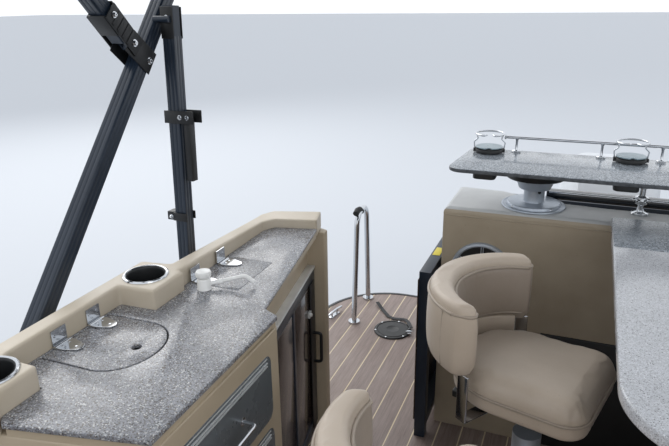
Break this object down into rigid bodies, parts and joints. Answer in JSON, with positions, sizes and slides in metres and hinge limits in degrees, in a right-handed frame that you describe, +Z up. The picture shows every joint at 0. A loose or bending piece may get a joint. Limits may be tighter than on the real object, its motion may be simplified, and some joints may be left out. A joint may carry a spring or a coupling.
{
  "type": "pontoon boat with stern bar",
  "caption": "Tritoon pontoon boat with a stern bar and galley, swivel stools, helm, fence with gates, folding canopy, swim ladder and outboard motor.",
  "frame": {"origin": "bottom of the centre keel strip, amidships on the centreline", "axes": "+Y to the bow along the tubes, +X to starboard, +Z up"},
  "size_m": [2.628, 9.7286, 3.076],
  "materials": {
    "tube_metal": "brushed and satin",
    "bare_alloy": "mill finish",
    "plank_vinyl": "woven vinyl planks with cream lines",
    "dark_trim": "satin",
    "black_frame": "satin powder coat",
    "side_panel": "gloss",
    "tan_moulding": "moulded, fine grain",
    "tan_vinyl": "grained vinyl upholstery",
    "grey_stone": "polished speckle",
    "dark_stone": "polished speckle",
    "pale_stone": "polished speckle",
    "black_plastic": "satin",
    "dark_gloss": "gloss",
    "white_plastic": "gloss",
    "cast_alloy": "painted casting",
    "stainless": "polished",
    "smoked_glass": "smoked",
    "canvas": "woven",
    "motor_grey": "satin",
    "motor_white": "gloss"
  },
  "bodies": {
    "hull": {"pontoons": "tube_metal", "crossmembers": "bare_alloy", "deck": "plank_vinyl", "deck_trim": "dark_trim", "fence_sides": "black_frame", "fence_bow": "black_frame", "fence_stern": "black_frame", "fence_panels": "side_panel", "galley_body": "tan_moulding", "galley_counter": "grey_stone", "galley_rim": "tan_moulding", "cup_liners": "black_plastic", "galley_door_frame": "black_frame", "faucet": "white_plastic", "bar_wall": "tan_vinyl", "speaker": "black_plastic", "bar_cabinets": "black_plastic", "table_top": "pale_stone", "bar_top": "dark_stone", "bar_supports": "cast_alloy", "bar_rail": "stainless", "seat_pedestals": "cast_alloy", "helm_console": "tan_moulding", "windscreen": "smoked_glass", "lounge_bases": "tan_moulding", "lounge_pads": "tan_vinyl", "ladder_handrail": "stainless", "round_hatch": "black_plastic", "ladder_rails": "bare_alloy", "motor_bracket": "motor_grey"},
    "motor_swivel_unit": {"motor_swivel": "motor_grey"},
    "motor": {"motor_leg": "motor_grey", "motor_cowl": "motor_white", "engine_block": "cast_alloy"},
    "prop": {"propeller": "stainless"},
    "wheel": {"steering_wheel": "black_plastic"},
    "stool_aft": {"stool_aft_pads": "tan_vinyl", "stool_aft_frame": "stainless"},
    "stool_forward": {"stool_forward_pads": "tan_vinyl", "stool_forward_frame": "stainless"},
    "chair": {"chair_pads": "tan_vinyl", "chair_frame": "black_plastic"},
    "bin_lid": {"galley_lid": "grey_stone"},
    "basin_lid": {"sink_lid": "grey_stone"},
    "upper_drawer": {"drawer_upper": "dark_gloss"},
    "lower_drawer": {"drawer_lower": "dark_gloss"},
    "fore_door": {"galley_door_fore": "dark_gloss"},
    "aft_door": {"galley_door_aft": "dark_gloss"},
    "pad_lid": {"sun_pad": "tan_vinyl"},
    "gate_bow": {"bow_gate": "black_frame"},
    "gate_side": {"side_gate": "black_frame"},
    "ladder_unit": {"ladder": "stainless"},
    "canopy": {"bimini_main": "black_frame", "bimini_canvas": "canvas"},
    "canopy_front": {"bimini_aux": "black_frame"},
    "canopy_struts": {"bimini_struts": "black_frame"}
  },
  "joints": [
    {"name": "motor_tilt", "type": "hinge", "parent": "hull", "child": "motor_swivel_unit", "pos_m": [0, -4.52, 0.72], "axis": [1, 0, 0], "range_deg": [0, 60]},
    {"name": "motor_steer", "type": "hinge", "parent": "motor_swivel_unit", "child": "motor", "pos_m": [0, -4.58, 0.82392], "axis": [0, 0.866, 0.5], "range_deg": [-30, 30]},
    {"name": "prop_spin", "type": "hinge", "parent": "motor", "child": "prop", "pos_m": [0, -5.58188, 0.63924], "axis": [0, -0.5, 0.866], "continuous": true},
    {"name": "wheel_turn", "type": "hinge", "parent": "hull", "child": "wheel", "pos_m": [0.785, 0.21916, 1.64543], "axis": [0, 0.8115, -0.5843], "range_deg": [-900, 900]},
    {"name": "stool_aft_swivel", "type": "hinge", "parent": "hull", "child": "stool_aft", "pos_m": [0.2, -2.45, 1.26], "axis": [0, 0, 1], "continuous": true},
    {"name": "stool_forward_swivel", "type": "hinge", "parent": "hull", "child": "stool_forward", "pos_m": [0.262, -1.85, 1.26], "axis": [0, 0, 1], "continuous": true},
    {"name": "chair_swivel", "type": "hinge", "parent": "hull", "child": "chair", "pos_m": [0.785, -0.38, 1.1], "axis": [0, 0, 1], "continuous": true},
    {"name": "bin_lid_open", "type": "hinge", "parent": "hull", "child": "bin_lid", "pos_m": [1.1545, -1.965, 1.601], "axis": [0, 1, 0], "range_deg": [0, 90]},
    {"name": "basin_lid_open", "type": "hinge", "parent": "hull", "child": "basin_lid", "pos_m": [1.0605, -2.394, 1.601], "axis": [0, 1, 0], "range_deg": [0, 90]},
    {"name": "upper_drawer_pull", "type": "slide", "parent": "hull", "child": "upper_drawer", "axis": [-1, 0, 0], "range_m": [0, 0.2]},
    {"name": "lower_drawer_pull", "type": "slide", "parent": "hull", "child": "lower_drawer", "axis": [-1, 0, 0], "range_m": [0, 0.2]},
    {"name": "fore_door_open", "type": "hinge", "parent": "hull", "child": "fore_door", "pos_m": [0.86667, -2.33241, 1.15], "axis": [0, 0, -1], "range_deg": [0, 95]},
    {"name": "aft_door_open", "type": "hinge", "parent": "hull", "child": "aft_door", "pos_m": [0.90877, -2.5793, 1.15], "axis": [0, 0, -1], "range_deg": [0, 95]},
    {"name": "pad_lift", "type": "hinge", "parent": "hull", "child": "pad_lid", "pos_m": [-0.325, -3.388, 1.221], "axis": [-1, 0, 0], "range_deg": [0, 80]},
    {"name": "bow_gate_swing", "type": "hinge", "parent": "hull", "child": "gate_bow", "pos_m": [-0.3603, 3.801, 1.145], "axis": [0, 0, -1], "range_deg": [0, 90]},
    {"name": "side_gate_swing", "type": "hinge", "parent": "hull", "child": "gate_side", "pos_m": [-1.221, 0.6403, 1.145], "axis": [0, 0, 1], "range_deg": [0, 90]},
    {"name": "ladder_slide", "type": "slide", "parent": "hull", "child": "ladder_unit", "axis": [0, -1, 0], "range_m": [0, 0.4]},
    {"name": "canopy_fold", "type": "hinge", "parent": "hull", "child": "canopy", "pos_m": [0, -1.869, 1.45], "axis": [1, 0, 0], "range_deg": [0, 45], "deforming": ["bimini_canvas"]},
    {"name": "canopy_front_fold", "type": "hinge", "parent": "canopy", "child": "canopy_front", "pos_m": [0, -2.42369, 2.1925], "axis": [1, 0, 0], "range_deg": [0, 83.35]},
    {"name": "canopy_strut_fold", "type": "hinge", "parent": "hull", "child": "canopy_struts", "pos_m": [0, -2.52, 1.472], "axis": [1, 0, 0], "range_deg": [0, 81]}
  ],
  "couplings": [
    {"joint": "wheel_turn", "follows": "motor_steer", "ratio": 30},
    {"joint": "canopy_front_fold", "follows": "canopy_fold", "ratio": 1.8522},
    {"joint": "canopy_strut_fold", "follows": "canopy_fold", "ratio": 1.8}
  ]
}
